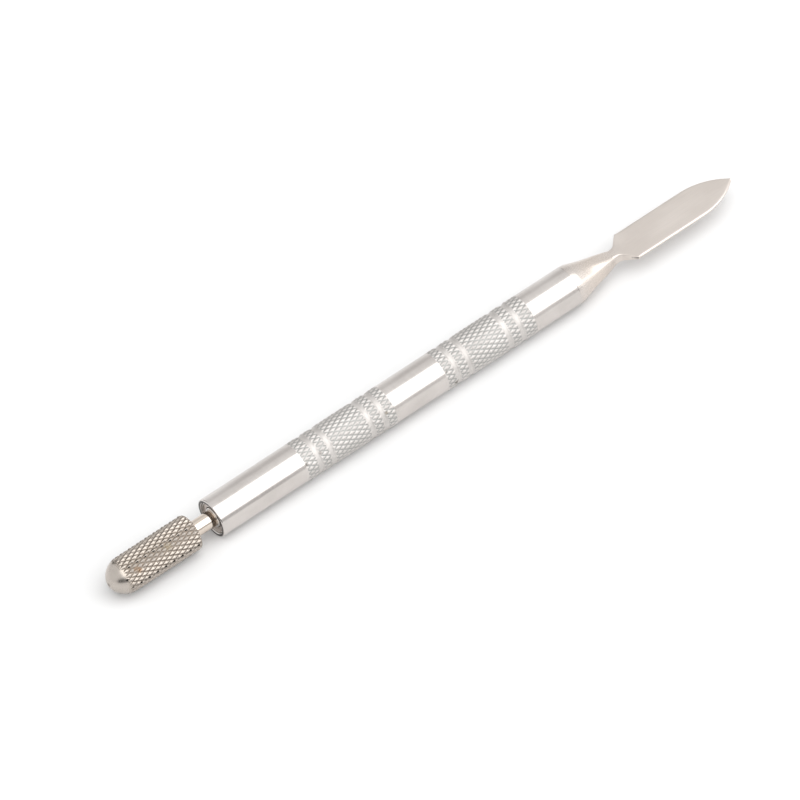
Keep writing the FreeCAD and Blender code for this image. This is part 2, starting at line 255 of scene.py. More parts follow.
class Sheet:
    """Rows of points round the axis, which become one closed mesh. The first and last rows are poles."""

    def __init__(self, columns):
        self.columns = columns
        self.stations = []
        self.radii = []
        self.hard = []
        self.diagonals = []
        self.heights = []
        self.finish_and_shade_values = []

    def turned(self, points, shade_from=None, shade_to=None):
        """Adds rows of one radius each, with support rows beside the corners; the mouth's face is
        painted near-black as shade between the two radii given after the outline."""
        outline = supported(points)
        for (station, radius), hard in zip(outline, hard_rows(outline)):
            self.row(station, np.full(self.columns, radius), hard)
            # the rows of the mouth's face get the mark for painted near-black shade
            if shade_from is not None and station < SHADE_FACE_REACH and shade_from <= radius <= shade_to:
                self.finish_and_shade_values[-1] = PAINTED_SHADE_FACE

    def row(self, station, radii, hard=False, diagonal=None, height=None, finish=0.0):
        """Adds one row; diagonal says how the faces that begin there are split, height is the
        knurl's and finish the surface's."""
        self.finish_and_shade_values.append(finish)
        self.stations.append(station)
        self.radii.append(radii)
        self.hard.append(hard)
        self.diagonals.append(np.zeros(self.columns, int) if diagonal is None else diagonal)
        self.heights.append(np.ones(self.columns) if height is None else height)

    def faces(self, index, poles):
        """The faces between each pair of rows."""
        found = []
        for i in range(len(self.stations) - 1):
            a, b = index[i], np.roll(index[i], -1)
            c, d = index[i + 1], np.roll(index[i + 1], -1)
            if poles[i]:
                found += np.stack([a, c, d], 1).tolist()
            elif poles[i + 1]:
                found += np.stack([a, c, b], 1).tolist()
            else:
                kind = self.diagonals[i]
                plain, main, other = kind == 0, kind == 1, kind == 2
                found += np.stack([a, c, d, b], 1)[plain].tolist()
                found += np.stack([a, c, d], 1)[main].tolist()
                found += np.stack([a, d, b], 1)[main].tolist()
                found += np.stack([a, c, b], 1)[other].tolist()
                found += np.stack([c, d, b], 1)[other].tolist()
        return found

    def build(self, name):
        """The finished object, in metres, in the row frame."""
        turn = np.arange(self.columns) * 2 * math.pi / self.columns
        points, index, row_of, poles, heights, finish_and_shade_values = [], [], [], [], [], []
        count = 0
        for i, radii in enumerate(self.radii):
            pole = bool(np.all(radii < POLE_R))
            poles.append(pole)
            size = 1 if pole else self.columns
            index.append(np.full(self.columns, count) if pole else count + np.arange(size))
            station = np.full(size, self.stations[i])
            y, z = radii * np.sin(turn), radii * np.cos(turn)
            points.append(np.stack([station, y[:size], z[:size]], 1))
            row_of += [i] * size
            heights += self.heights[i][:size].tolist()
            finish_and_shade_values += [self.finish_and_shade_values[i]] * size
            count += size
        mesh = bpy.data.meshes.new(name)
        mesh.from_pydata(to_frame(np.concatenate(points)).tolist(), [], self.faces(index, poles))
        mark_hard(mesh, np.array(row_of), np.array(self.hard))
        mesh.attributes.new(TOOTH, "FLOAT", "POINT").data.foreach_set("value", heights)
        mesh.attributes.new(FINISH_AND_SHADE, "FLOAT", "POINT").data.foreach_set("value", finish_and_shade_values)
        return new_object(name, mesh)


def to_frame(points):
    """Millimetre points (station, y, z above the axis) as metres in the row frame."""
    return points * MM + np.array([MOUTH_X, 0.0, AXIS_Z])


def mark_hard(mesh, row_of, hard):
    """Marks the rings of edges whose row is hard, and shades the rest smooth."""
    pairs = np.zeros(len(mesh.edges) * 2, np.int32)
    mesh.edges.foreach_get("vertices", pairs)
    rows = row_of[pairs.reshape(-1, 2)]
    sharp = (rows[:, 0] == rows[:, 1]) & hard[rows[:, 0]]
    mesh.shade_smooth()
    layer = mesh.attributes.get("sharp_edge") or mesh.attributes.new("sharp_edge", "BOOLEAN", "EDGE")
    layer.data.foreach_set("value", sharp)


def new_object(name, mesh):
    """Links an object for the mesh."""
    mesh.validate()
    mesh.update()
    made = bpy.data.objects.new(name, mesh)
    bpy.context.scene.collection.objects.link(made)
    return made


def tooth_height(row, teeth, columns, per_period):
    """Height on a diamond knurl along one row: 0 in a groove, 1 at a point."""
    across = np.arange(columns) * teeth / columns
    along = row / per_period
    left = across + along
    right = across - along
    return np.minimum(2 * abs(left - np.round(left)), 2 * abs(right - np.round(right)))


def tooth_diagonal(row, columns, per_period):
    """Which way each face is split, so that its edges run along the knurl's grooves."""
    column = np.arange(columns)
    kind = np.zeros(columns, int)
    kind[(column - row) % per_period == 0] = 1
    kind[(column + row + 1) % per_period == 0] = 2
    return kind


# ---- pieces ----


def grip_rows(bands):
    """For each row of a grip: its band's distance to the nearer end in rows, or None in a groove."""
    kinds = []
    for i, rows in enumerate(bands):
        if i:
            kinds += [None] * (GROOVE_ROWS - 1)
        kinds += [min(k, rows - k) for k in range(rows + 1)]
    return kinds


def shoulder(distance, first):
    """The largest radius at that distance from a band's end; a grip's own ends meet the plain bar."""
    low = HANDLE_R if first else SHOULDER_R
    share = min(1.0, distance / SHOULDER_ROUNDING)
    return low + (KNURL_R - low) * math.sqrt(1 - (1 - share) ** 2)


def add_grip(sheet, start, bands):
    """The knurled bands of one grip with shallow smooth grooves between them; returns where it ends."""
    per = HANDLE_COLUMNS // HANDLE_TEETH
    pitch = KNURL_PERIOD / per
    kinds = grip_rows(bands)
    for row, kind in enumerate(kinds):
        at_end = row < bands[0] / 2 or row > len(kinds) - bands[-1] / 2
        if kind is None:
            sheet.row(start + row * pitch, np.full(HANDLE_COLUMNS, GROOVE_R), finish=GROOVE_FINISH)
            continue
        top = shoulder(kind * pitch, at_end)
        height = tooth_height(row, HANDLE_TEETH, HANDLE_COLUMNS, per)
        radii = np.minimum(KNURL_R - GRIP_DEPTH * (1 - height), top)
        if kind == 0:
            radii = np.full(HANDLE_COLUMNS, top)
            height = np.ones(HANDLE_COLUMNS)
        split = tooth_diagonal(row, HANDLE_COLUMNS, per)
        sheet.row(start + row * pitch, radii, False, split, height, WORKED)
    return start + (len(kinds) - 1) * pitch


def handle():
    """The turned bar with its bores and grips."""
    relief_end = POCKET_END + RELIEF_DEPTH
    drill_tip = relief_end + RELIEF_R * DRILL_SLOPE
    mouth_centre = (MOUTH_ROUNDING, HANDLE_R - MOUTH_ROUNDING)
    inside = [
        (drill_tip, 0),
        (relief_end, RELIEF_R),
        (POCKET_END, RELIEF_R),
        (POCKET_END, POCKET_R),
        (MOUTH_CHAMFER, POCKET_R),
        (0, POCKET_R + MOUTH_CHAMFER),
        (0, HANDLE_R - MOUTH_ROUNDING),
    ]
    front = inside + arc(mouth_centre, MOUTH_ROUNDING, 180, 90, MOUTH_STEPS)[1:]
    sheet = Sheet(HANDLE_COLUMNS)
    front.append((GRIP_STARTS[0] - SUPPORT, HANDLE_R))
    # the mouth's end face between these two radii is painted near-black as shade
    sheet.turned(front, POCKET_R + MOUTH_CHAMFER, HANDLE_R - BRIGHT_ROUNDING * MOUTH_ROUNDING)
    first_end = add_grip(sheet, GRIP_STARTS[0], GRIP_BANDS[0])
    sheet.turned([(first_end + SUPPORT, HANDLE_R), (GRIP_STARTS[1] - SUPPORT, HANDLE_R)])
    second_end = add_grip(sheet, GRIP_STARTS[1], GRIP_BANDS[1])
    sheet.turned(
        [
            (second_end + SUPPORT, HANDLE_R),
            (HANDLE_END - SEAM_CHAMFER, HANDLE_R),
            (HANDLE_END, HANDLE_R - SEAM_CHAMFER),
            (HANDLE_END, TANG_R),
            (TANG_START, TANG_R),
            (TANG_START, 0),
        ]
    )
    return sheet.build("handle_bar")


def head_limit(station):
    """The file head's crest radius at a station: domed nose, straight body, rounded chamfer behind."""
    nose_centre = HEAD_TIP + NOSE_LENGTH
    shoulder_station = HEAD_REAR - HEAD_CHAMFER_LENGTH
    if station < nose_centre:
        return HEAD_R * math.sqrt(max(0.0, 1 - ((station - nose_centre) / NOSE_LENGTH) ** 2))
    if station > shoulder_station:
        share = (station - shoulder_station) / HEAD_CHAMFER_LENGTH
        return HEAD_R - HEAD_CHAMFER_DROP * (1 - math.sqrt(max(0.0, 1 - share**2)))
    return HEAD_R


def file_burr():
    """The knurled head with a smooth nose and a blind bore for the spindle."""
    per = HEAD_COLUMNS // HEAD_TEETH
    pitch = HEAD_PERIOD / per
    nose_centre = HEAD_TIP + NOSE_LENGTH
    rows = int((HEAD_REAR - nose_centre + NOSE_KNURL_END) / pitch)
    sheet = Sheet(HEAD_COLUMNS)
    last = HEAD_REAR - rows * pitch
    last_angle = math.acos((nose_centre - last) / NOSE_LENGTH)
    for k in range(NOSE_ROWS):
        angle = last_angle * k / NOSE_ROWS
        station = nose_centre - NOSE_LENGTH * math.cos(angle)
        radius = HEAD_R * math.sin(angle)
        sheet.row(station, np.full(HEAD_COLUMNS, radius))
    for row in range(rows + 1):
        station = last + row * pitch
        height = tooth_height(row, HEAD_TEETH, HEAD_COLUMNS, per)
        limit = head_limit(station)
        cut = HEAD_R - HEAD_DEPTH + HEAD_DEPTH * HEAD_STRETCH * height
        radii = np.minimum(cut, limit)
        height = np.where(cut >= limit, 1.0, height)
        split = tooth_diagonal(row, HEAD_COLUMNS, per)
        sheet.row(station, radii, row == rows, split, height, WORKED)
    sheet.turned(
        [
            (HEAD_REAR, HEAD_R - HEAD_CHAMFER_DROP - HEAD_FACE_STEP),
            (HEAD_REAR, SPINDLE_R),
            (SPINDLE_START, SPINDLE_R),
            (SPINDLE_START, 0),
        ]
    )
    return sheet.build("file_burr")


def lathe(name, points):
    """A closed turned piece from an outline that begins and ends on the axis."""
    sheet = Sheet(LATHE_COLUMNS)
    sheet.turned(points)
    return sheet.build(name)


def ring(name, points):
    """A closed turned ring: the outline comes back to its first point."""
    sheet = Sheet(LATHE_COLUMNS)
    sheet.turned(points + [points[0]])
    made = sheet.build(name)
    return weld(made)


def weld(made):
    """Joins the points of a ring's last row to its first."""
    work = bmesh.new()
    work.from_mesh(made.data)
    bmesh.ops.remove_doubles(work, verts=work.verts, dist=WELD_DISTANCE)
    work.to_mesh(made.data)
    work.free()
    return made


def spindle_rod():
    """The ground rod: chamfered ends and the clip's groove."""
    groove = CLIP_START - CLIP_PLAY
    groove_end = CLIP_END + CLIP_PLAY
    return lathe(
        "spindle_rod",
        [
            (SPINDLE_START, 0),
            (SPINDLE_START, SPINDLE_R - SPINDLE_CHAMFER),
            (SPINDLE_START + SPINDLE_CHAMFER, SPINDLE_R),
            (groove, SPINDLE_R),
            (groove, CLIP_GROOVE_R),
            (groove_end, CLIP_GROOVE_R),
            (groove_end, SPINDLE_R),
            (SPINDLE_END - SPINDLE_CHAMFER, SPINDLE_R),
            (SPINDLE_END, SPINDLE_R - SPINDLE_CHAMFER),
            (SPINDLE_END, 0),
        ],
    )


def race_arc(middle, outward):
    """The ball race's section, as seen by the ring outside it or the ring inside it."""
    pitch_r = (SPINDLE_R + POCKET_R) / 2
    wall = OUTER_RING_BORE_R if outward else INNER_RING_R
    reach = math.degrees(math.asin(abs(wall - pitch_r) / RACE_R))
    if outward:
        return arc((middle, pitch_r), RACE_R, reach, 180 - reach, RACE_STEPS)
    return arc((middle, pitch_r), RACE_R, 180 + reach, 360 - reach, RACE_STEPS)


def outer_ring():
    """The front bearing's outer ring, with its race and shield seats."""
    middle = (BEARING_START + BEARING_END) / 2
    seat = middle - SHIELD_END
    low = (BEARING_START + RING_CORNER, POCKET_R - RING_CORNER)
    high = (BEARING_END - RING_CORNER, POCKET_R - RING_CORNER)
    points = [
        (BEARING_START, SHIELD_SEAT_R),
        *arc(low, RING_CORNER, 180, 90, CORNER_STEPS),
        *arc(high, RING_CORNER, 90, 0, CORNER_STEPS),
        (BEARING_END, SHIELD_SEAT_R),
        (middle + seat, SHIELD_SEAT_R),
        (middle + seat, OUTER_RING_BORE_R),
        *race_arc(middle, True),
        (middle - seat, OUTER_RING_BORE_R),
        (middle - seat, SHIELD_SEAT_R),
    ]
    return ring("front_outer_race", points)


def inner_ring():
    """The front bearing's inner ring, with its race."""
    middle = (BEARING_START + BEARING_END) / 2
    points = [
        (BEARING_START, SPINDLE_R + INNER_CHAMFER),
        (BEARING_START, INNER_RING_R - INNER_CORNER),
        (BEARING_START + INNER_CORNER, INNER_RING_R),
        *race_arc(middle, False),
        (BEARING_END - INNER_CORNER, INNER_RING_R),
        (BEARING_END, INNER_RING_R - INNER_CORNER),
        (BEARING_END, SPINDLE_R + INNER_CHAMFER),
        (BEARING_END - INNER_CHAMFER, SPINDLE_R),
        (BEARING_START + INNER_CHAMFER, SPINDLE_R),
    ]
    return ring("front_inner_race", points)


def mouth_shield():
    """The pressed plate that closes the bearing towards the mouth, with a shallow ring in it."""
    bore = INNER_RING_R + SHIELD_GAP
    ring_low, ring_middle, ring_high = SHIELD_GROOVE
    points = [
        (SHIELD_START + SHIELD_DIP, bore),
        (SHIELD_START, bore + SHIELD_DIP),
        (SHIELD_START, bore + ring_low),
        (SHIELD_START + SHIELD_DIP, bore + ring_middle),
        (SHIELD_START, bore + ring_high),
        (SHIELD_START, SHIELD_SEAT_R),
        (SHIELD_END, SHIELD_SEAT_R),
        (SHIELD_END, bore),
    ]
    return ring("front_mouth_plate", points)


# ---- blade ----


def bent(start, bend, end):
    """Points of a curve that leaves start towards bend and comes from bend to end."""
    made = []
    for t in np.linspace(0, 1, FLARE_STEPS + 1):
        a, b, c = (1 - t) ** 2, 2 * t * (1 - t), t * t
        made.append(tuple(a * start[k] + b * bend[k] + c * end[k] for k in (0, 1)))
    return made


def flare_half_width(station):
    """Half the width between the neck and the heel, on two curves that meet at FLARE_TURN."""
    curve = bent((FLARE_START, NECK_R), FLARE_BEND, FLARE_TURN)
    curve += bent(FLARE_TURN, HEEL_BEND, (HEEL, BLADE_HALF_WIDTH))[1:]
    stations, widths = zip(*curve)
    return float(np.interp(station, stations, widths))


def cone_half_width(station):
    """Half the cone's width; it leaves the bar on a curve and then runs straight."""
    along = station - HANDLE_END - SEAM_CHAMFER
    slope = (HANDLE_R - NECK_R) / (NECK_STATION - HANDLE_END - SEAM_CHAMFER - CONE_BLEND / 2)
    if along < CONE_BLEND:
        return HANDLE_R - slope * along**2 / (2 * CONE_BLEND)
    return HANDLE_R - slope * (along - CONE_BLEND / 2)


def ogive_half_width(station):
    """Half the width where the blade draws in to a point with a small round tip."""
    rise = BLADE_HALF_WIDTH - TIP_R
    length = BLADE_TIP - TIP_R / 2 - TAPER_START
    radius = (length**2 + rise**2) / (2 * rise)
    along = min(station - TAPER_START, length)
    width = BLADE_HALF_WIDTH - radius + math.sqrt(radius**2 - along**2)
    rounding = max(0.0, 1 - ((station - TAPER_START - length) / (TIP_R / 2)) ** 2)
    return width * math.sqrt(rounding) if station > TAPER_START + length else width


def half_width(station):
    """Half the blade's width at a station, from the cone to the tip."""
    if station < NECK_STATION:
        return cone_half_width(station)
    if station < FLARE_START:
        return NECK_R
    if station < HEEL:
        return flare_half_width(station)
    if station < TAPER_START:
        return BLADE_HALF_WIDTH
    return ogive_half_width(station)


def smooth(value, low, high):
    """0 below low, 1 above high, eased between."""
    t = min(1.0, max(0.0, (value - low) / (high - low)))
    return t * t * (3 - 2 * t)


def half_thickness(station):
    """Half the blade's thickness at a station."""
    if station < NECK_STATION:
        return half_width(station)
    flat = smooth(station, *THINNING)
    plate = BLADE_HALF_THICKNESS + (NECK_R - BLADE_HALF_THICKNESS) * (1 - flat)
    thin = max(0.0, (station - TAPER_START) / (BLADE_TIP - TAPER_START))
    return plate - (BLADE_HALF_THICKNESS - TIP_HALF_THICKNESS) * thin


def corner_size(station, wide, thick, round_share):
    """The width and the drop of a section's corners, which are the whole section where it is round."""
    growth = smooth(station, *EDGE_GROWTH)
    edge_width = HEEL_EDGE_WIDTH + (EDGE_WIDTH - HEEL_EDGE_WIDTH) * growth
    corner = np.array([edge_width, EDGE_DROP])
    corner = corner + (min(wide, thick) - corner) * round_share
    return np.minimum(corner, [CORNER_LIMIT * wide, CORNER_LIMIT * thick])


def section(station):
    """Points round one section: a circle at the handle, squarer along the cone and the neck, and a
    crowned plate with small edges from the heel."""
    wide, thick = half_width(station), half_thickness(station)
    round_share = 1 - smooth(station, SQUARE_START, PLATE_START)
    corner = corner_size(station, wide, thick, round_share)
    outline, turned = [], []
    for quarter, (sy, sz) in enumerate(((1, 1), (-1, 1), (-1, -1), (1, -1))):
        centre = np.array([sy * (wide - corner[0]), sz * (thick - corner[1])])
        for t in np.linspace(0, math.pi / 2, CORNER_POINTS):
            angle = quarter * math.pi / 2 + t
            outline.append(centre + corner * np.array([math.cos(angle), math.sin(angle)]))
            turned.append(angle)
    return resample(np.array(outline), np.array(turned) / (2 * math.pi), wide, round_share)


def resample(outline, turned_share, wide, round_share):
    """SECTION_POINTS points spread over the outline, partly by turning and partly by length."""
    start = np.array([[outline[0][0], 0.0]])
    loop = np.concatenate([start, outline, start])
    steps = np.linalg.norm(np.diff(loop, axis=0), axis=1)
    length = np.concatenate([[0.0], np.cumsum(steps)])
    turned_loop = np.concatenate([[0.0], turned_share, [1.0]])
    place = CORNER_SHARE * turned_loop + (1 - CORNER_SHARE) * length / length[-1]
    wanted = (np.arange(SECTION_POINTS) + 0.5) / SECTION_POINTS
    y = np.interp(wanted, place, loop[:, 0])
    z = np.interp(wanted, place, loop[:, 1])
    crown = EDGE_CROWN * (1 - round_share) * (np.abs(y) / wide) ** 3
    return y, z * (1 - crown)


def blade_stations():
    """Where the blade's sections are: close together where its shape changes."""
    seam = HANDLE_END + SEAM_CHAMFER
    plate_start = HEEL + HEEL_MARGIN
    ogive_end = BLADE_TIP - TIP_R / 2
    bend = np.linspace(seam, seam + CONE_BLEND, BEND_SECTIONS)
    cone = np.linspace(seam + CONE_BLEND, NECK_STATION, CONE_SECTIONS)[1:]
    flare = np.linspace(NECK_STATION, plate_start, FLARE_SECTIONS)[1:]
    plate = np.linspace(plate_start, TAPER_START, PLATE_SECTIONS)[1:]
    ogive = np.linspace(TAPER_START, ogive_end, OGIVE_SECTIONS)[1:]
    tip = BLADE_TIP - TIP_R / 2 * (1 - np.sin(np.linspace(0, math.pi / 2, TIP_SECTIONS)[1:-1]))
    return np.concatenate([bend, cone, flare, plate, ogive, tip])


def tang():
    """(station, radius) points of the stub that sits in the handle, up to the seam."""
    points = [
        (TANG_START, TANG_R - TANG_CHAMFER),
        (TANG_START + TANG_CHAMFER, TANG_R),
        (HANDLE_END, TANG_R),
        (HANDLE_END, HANDLE_R - SEAM_CHAMFER),
        (HANDLE_END + SEAM_CHAMFER, HANDLE_R),
    ]
    return supported(points)[:-1]


def blade():
    """Tang, flush cone, squared neck and spear plate as one closed mesh."""
    rings = []
    turn = (np.arange(SECTION_POINTS) + 0.5) / SECTION_POINTS * 2 * math.pi
    stub = tang()
    hard = hard_rows(stub)
    for station, radius in stub:
        x = np.full(SECTION_POINTS, station)
        rings.append(np.stack([x, radius * np.cos(turn), radius * np.sin(turn)], 1))
    for station in blade_stations():
        x = np.full(SECTION_POINTS, station)
        y, z = section(station)
        raised = BLADE_RAISE * smooth(station, RAISE_START, PLATE_START)
        rings.append(np.stack([x, y, z + raised], 1))
        hard.append(False)
    hard[0] = True
    return loft("spear_blade", rings, hard)


def loft(name, rings, hard):
    """One closed mesh through rings of equal length, with a point at the middle of each end."""
    count = len(rings[0])
    middles = [rings[0].mean(0)[None], rings[-1].mean(0)[None]]
    points = np.concatenate(rings + middles)
    start, end = len(rings) * count, len(rings) * count + 1
    points[end, 0] = BLADE_TIP
    column = np.arange(count)
    after = np.roll(column, -1)
    faces = np.stack([np.full(count, start), after, column], 1).tolist()
    for i in range(len(rings) - 1):
        low, high = i * count, (i + 1) * count
        faces += np.stack([low + column, low + after, high + after, high + column], 1).tolist()
    tail = (len(rings) - 1) * count
    faces += np.stack([np.full(count, end), tail + column, tail + after], 1).tolist()
    mesh = bpy.data.meshes.new(name)
    mesh.from_pydata(to_frame(points).tolist(), [], faces)
    row_of = np.concatenate([np.repeat(np.arange(len(rings)), count), [len(rings), len(rings)]])
    mark_hard(mesh, row_of, np.array(hard + [False]))
    finish_and_shade_values = [WORKED * smooth(station, SATIN_START, HEEL) for station in points[:, 0]]
    mesh.attributes.new(FINISH_AND_SHADE, "FLOAT", "POINT").data.foreach_set("value", finish_and_shade_values)
    return new_object(name, mesh)


# ---- materials ----


def shader(name, metallic, roughness):
    """A new node material and its shader."""
    material = bpy.data.materials.new(name)
    material.use_nodes = True
    principled = material.node_tree.nodes["Principled BSDF"]
    principled.inputs["Metallic"].default_value = metallic
    principled.inputs["Roughness"].default_value = roughness
    return material, principled


def stretched_noise(tree, place, scale, detail):
    """Noise with its own number of cycles per millimetre along X, Y and Z."""
    mapping = tree.nodes.new("ShaderNodeMapping")
    mapping.inputs["Scale"].default_value = [s / MM for s in scale]
    tree.links.new(place, mapping.inputs["Vector"])
    noise = tree.nodes.new("ShaderNodeTexNoise")
    noise.inputs["Scale"].default_value = 1.0
    noise.inputs["Detail"].default_value = detail
    tree.links.new(mapping.outputs["Vector"], noise.inputs["Vector"])
    return noise.outputs["Fac"]


def ranged(tree, value, low, high, made_low, made_high):
    """The value, whose range low to high becomes made_low to made_high."""
    node = tree.nodes.new("ShaderNodeMapRange")
    node.inputs["From Min"].default_value = low
    node.inputs["From Max"].default_value = high
    node.inputs["To Min"].default_value = made_low
    node.inputs["To Max"].default_value = made_high
    tree.links.new(value, node.inputs["Value"])
    return node.outputs["Result"]


def mixed(tree, share, first, second):
    """A colour between two others; each is a colour or another node's output."""
    node = tree.nodes.new("ShaderNodeMix")
    node.data_type = "RGBA"
    for socket, colour in ((node.inputs[6], first), (node.inputs[7], second)):
        if isinstance(colour, tuple):
            socket.default_value = (*colour, 1.0)
        else:
            tree.links.new(colour, socket)
    tree.links.new(share, node.inputs[0])
    return node.outputs[2]


def stored(tree, name):
    """A number that the mesh stores at each point."""
    node = tree.nodes.new("ShaderNodeAttribute")
    node.attribute_name = name
    return node.outputs["Fac"]


def blended(tree, share, first, second):
    """A value between two others."""
    node = tree.nodes.new("ShaderNodeMix")
    tree.links.new(share, node.inputs[0])
    tree.links.new(first, node.inputs[2])
    tree.links.new(second, node.inputs[3])
    return node.outputs[0]


def spotted(tree, place, tint, centre, size, colour, strength):
    """The tint with a soft-edged spot round a point, used for stains and for painted shade; size is its
    reach in metres.
    """
    node = tree.nodes.new("ShaderNodeVectorMath")
    node.operation = "DISTANCE"
    node.inputs[1].default_value = centre
    tree.links.new(place, node.inputs[0])
    share = ranged(tree, node.outputs["Value"], size, size * SPOT_CORE, 0.0, strength)
    return mixed(tree, share, tint, colour)


def tinted(tree, tint, factor):
    """The tint with each of its channels multiplied by a factor."""
    node = tree.nodes.new("ShaderNodeVectorMath")
    node.operation = "MULTIPLY"
    node.inputs[1].default_value = factor
    tree.links.new(tint, node.inputs[0])
    return node.outputs["Vector"]


def shaded(tree, tint, shade):
    """The tint scaled by a value."""
    node = tree.nodes.new("ShaderNodeVectorMath")
    node.operation = "SCALE"
    tree.links.new(tint, node.inputs[0])
    tree.links.new(shade, node.inputs["Scale"])
    return node.outputs["Vector"]


def add_bump(tree, principled, height, depth):
    """Fine relief, depth in millimetres."""
    bump = tree.nodes.new("ShaderNodeBump")
    bump.inputs["Strength"].default_value = 1.0
    bump.inputs["Distance"].default_value = depth * MM
    tree.links.new(height, bump.inputs["Height"])
    tree.links.new(bump.outputs["Normal"], principled.inputs["Normal"])


def metal(name, dark, light, roughness, grain, relief, groove=None, worked=None, turned=None, stains_and_painted_shade=()):
    """A metal with drifting tint, uneven polish and a fine grain.

    roughness is (low, high), grain is cycles per millimetre along X, Y and Z, and relief is in
    millimetres. groove is the colour of painted shade at the bottom of a knurl and the tooth height
    where it ends. worked is a factor for each channel of the tint, and then the roughness, low and
    high, of knurled or satin surfaces. turned is the near-black colour of painted shade on the mouth's
    face. Each spot is a centre, a size, a colour and a strength; some are stains and some painted shade."""
    material, principled = shader(name, 1.0, roughness[0])
    tree = material.node_tree
    place = tree.nodes.new("ShaderNodeTexCoord").outputs["Object"]
    drift = stretched_noise(tree, place, CLOUD, CLOUD_DETAIL)
    fine = stretched_noise(tree, place, grain, GRAIN_DETAIL)
    tint = mixed(tree, ranged(tree, drift, *CLOUD_RANGE, 0.0, 1.0), dark, light)
    shade = ranged(tree, fine, *GRAIN_RANGE, GRAIN_SHADE, 1.0)
    polish = ranged(tree, fine, *GRAIN_RANGE, *roughness)
    # painted shade: a darker colour at the bottom of the knurl's teeth
    if groove is not None:
        colour, reach = groove
        tint = mixed(tree, ranged(tree, stored(tree, TOOTH), 0.0, reach, 0.0, 1.0), colour, tint)
    if worked is not None:
        factor, low, high = worked
        share = ranged(tree, stored(tree, FINISH_AND_SHADE), 0.0, WORKED, 0.0, 1.0)
        tint = mixed(tree, share, tint, tinted(tree, tint, factor))
        polish = blended(tree, share, polish, ranged(tree, fine, *GRAIN_RANGE, low, high))
    # painted shade: the mouth's face turns near-black
    if turned is not None:
        share = ranged(tree, stored(tree, FINISH_AND_SHADE), PAINTED_SHADE_FACE, 0.0, 0.0, 1.0)
        tint = mixed(tree, share, turned, tint)
    for spot in stains_and_painted_shade:
        tint = spotted(tree, place, tint, *spot)
    tree.links.new(shaded(tree, tint, shade), principled.inputs["Base Color"])
    tree.links.new(polish, principled.inputs["Roughness"])
    add_bump(tree, principled, fine, relief)
    return material


def point_on(radius, station, turn):
    """A point on a round piece, turned from the top towards -Y by that many degrees, in metres."""
    angle = math.radians(turn)
    y, z = -radius * MM * math.sin(angle), radius * MM * math.cos(angle)
    return (MOUTH_X + station * MM, y, AXIS_Z + z)


def blade_point(station, across, up):
    """A point of the blade, measured from the handle's axis, in metres."""
    return (MOUTH_X + station * MM, across * MM, AXIS_Z + up * MM)


def finish_piece(piece, material, body, node):
    """Gives a new piece its material and its body, and hides the CAD node that it stands for."""
    piece.data.materials.clear()
    piece.data.materials.append(material)
    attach(piece, body)
    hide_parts(node)


def finish_node(node, material):
    """Gives a CAD node its material and slot."""
    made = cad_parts[node]
    made.data.materials.clear()
    made.data.materials.append(material)


def handle_steel():
    """Bright polished bar with a dull knurl, painted shade at the bottom of its teeth, a near-black
    painted shade on the mouth's face, and small dark spots of painted shade at the ends of the grips'
    bands.
    """
    return metal(
        "handle_steel",
        dark=(0.59, 0.552, 0.525),
        light=(0.68, 0.64, 0.613),
        roughness=(0.14, 0.22),
        grain=(7.0, 0.2, 0.2),
        relief=0.0006,
        # painted shade at the bottom of the knurl's teeth
        groove=((0.38, 0.375, 0.36), 0.42),
        worked=((0.99, 1.01, 1.02), 0.54, 0.62),
        # painted shade: near-black on the mouth's end face
        turned=(0.035, 0.03, 0.027),
        # small dark spots of painted shade at the ends of the grips' bands
        stains_and_painted_shade=(
            (point_on(HANDLE_R, 18.5, 58), 0.00045, (0.2, 0.18, 0.16), 0.7),
            (point_on(HANDLE_R, 21.7, 50), 0.0004, (0.2, 0.18, 0.16), 0.6),
            (point_on(HANDLE_R, 35.6, 58), 0.00045, (0.24, 0.2, 0.15), 0.7),
            (point_on(HANDLE_R, 48.6, 53), 0.00035, (0.2, 0.18, 0.16), 0.6),
            (point_on(HANDLE_R, 49.9, 104), 0.0006, (0.16, 0.14, 0.12), 0.8),
        ),
    )


def blade_steel():
    """A warm polished cone, and a satin blade with a painted dark reflection in a line at one side of
    its heel.
    """
    return metal(
        "blade_steel",
        dark=(0.63, 0.58, 0.545),
        light=(0.68, 0.63, 0.595),
        roughness=(0.2, 0.3),
        grain=(0.25, 9.0, 9.0),
        relief=0.001,
        worked=((1.13, 1.12, 1.1), 0.3, 0.38),
        stains_and_painted_shade=(
            (blade_point(81.0, 0.0, 0.0), 0.006, (0.70, 0.615, 0.54), 0.7),
            # painted dark reflection along the near side of the heel
            (blade_point(88.28, -2.75, 0.45), 0.00026, (0.2, 0.19, 0.18), 0.45),
            (blade_point(88.54, -3.02, 0.45), 0.00028, (0.2, 0.19, 0.18), 0.6),
            (blade_point(88.75, -3.24, 0.45), 0.0003, (0.2, 0.19, 0.18), 0.75),
            (blade_point(88.92, -3.45, 0.45), 0.0003, (0.2, 0.19, 0.18), 0.85),
        ),
    )


